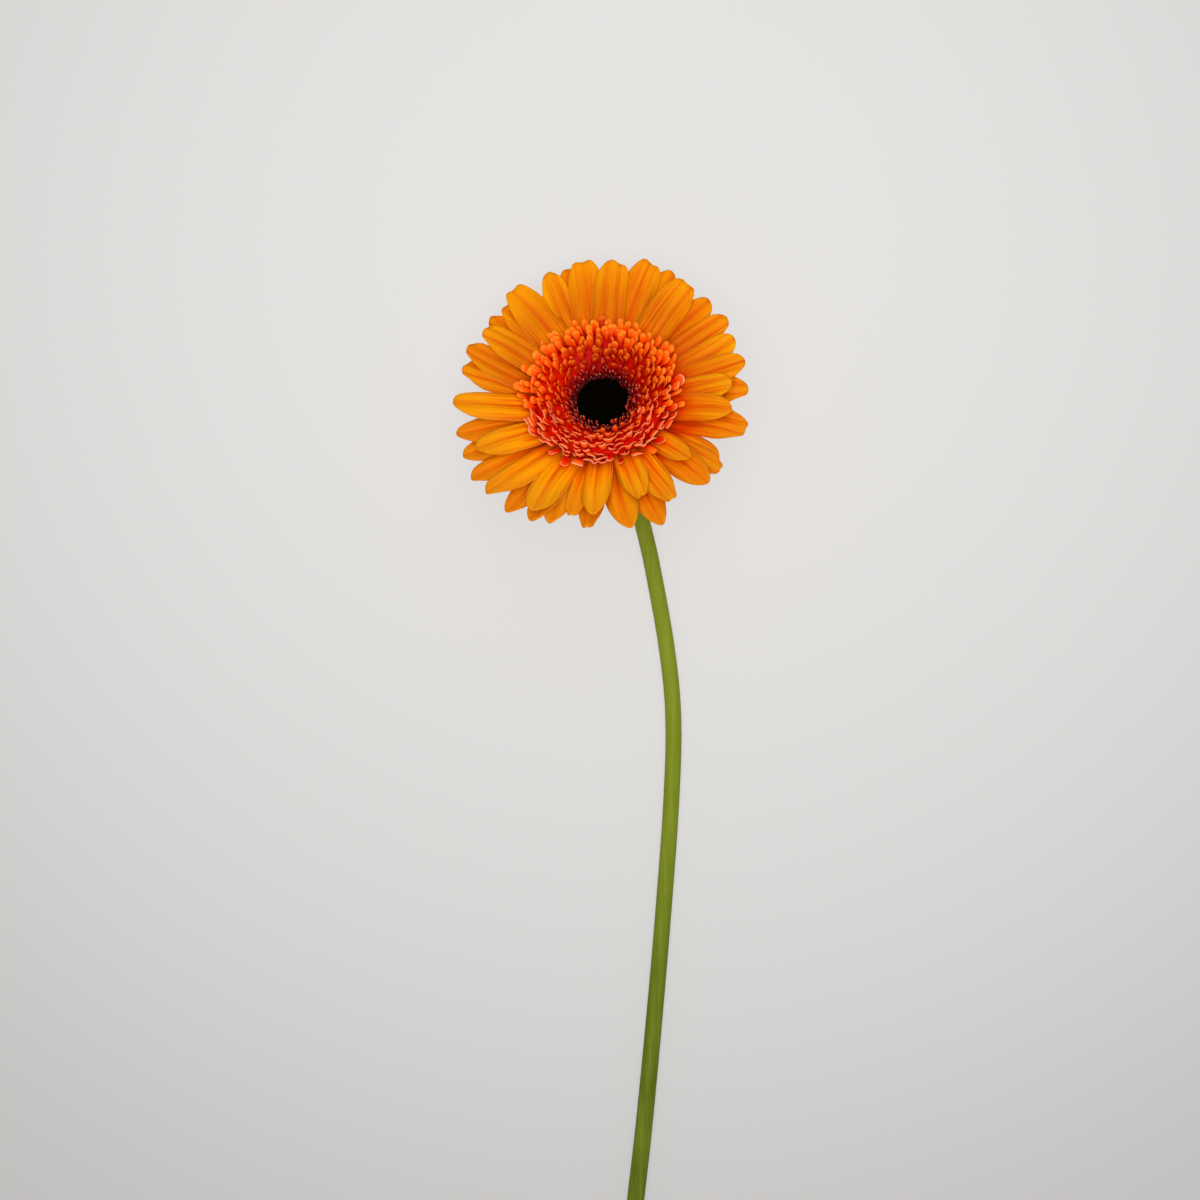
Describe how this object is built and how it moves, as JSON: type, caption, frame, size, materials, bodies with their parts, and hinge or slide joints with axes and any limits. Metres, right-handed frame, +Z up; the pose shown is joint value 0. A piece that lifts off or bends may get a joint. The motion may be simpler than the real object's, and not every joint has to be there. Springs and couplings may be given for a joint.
{
  "type": "gerbera daisy",
  "caption": "Cut gerbera daisy lying face up: round bloom of broad orange strap petals, raised ring of short red florets, dark eye, green cup of bracts and long bare stem.",
  "frame": {"origin": "under the middle of the whole flower's box, on the surface that it lies on", "axes": "+Z up from the surface; +Y along the stem, from the cut foot to the bloom; +X to the right of the bloom seen from above with the stem towards the viewer"},
  "size_m": [0.1006, 0.393, 0.0593],
  "materials": {
    "stem_green": "satin",
    "bract_green": "satin",
    "ray_orange": "satin",
    "trans_red": "satin",
    "fringe_maroon": "satin",
    "eye_black": "matte"
  },
  "bodies": {
    "root": {"stem": "stem_green", "involucre": "bract_green", "ray_florets": "ray_orange", "trans_florets": "trans_red", "fringe_florets": "fringe_maroon", "disc_florets": "eye_black"}
  },
  "joints": []
}
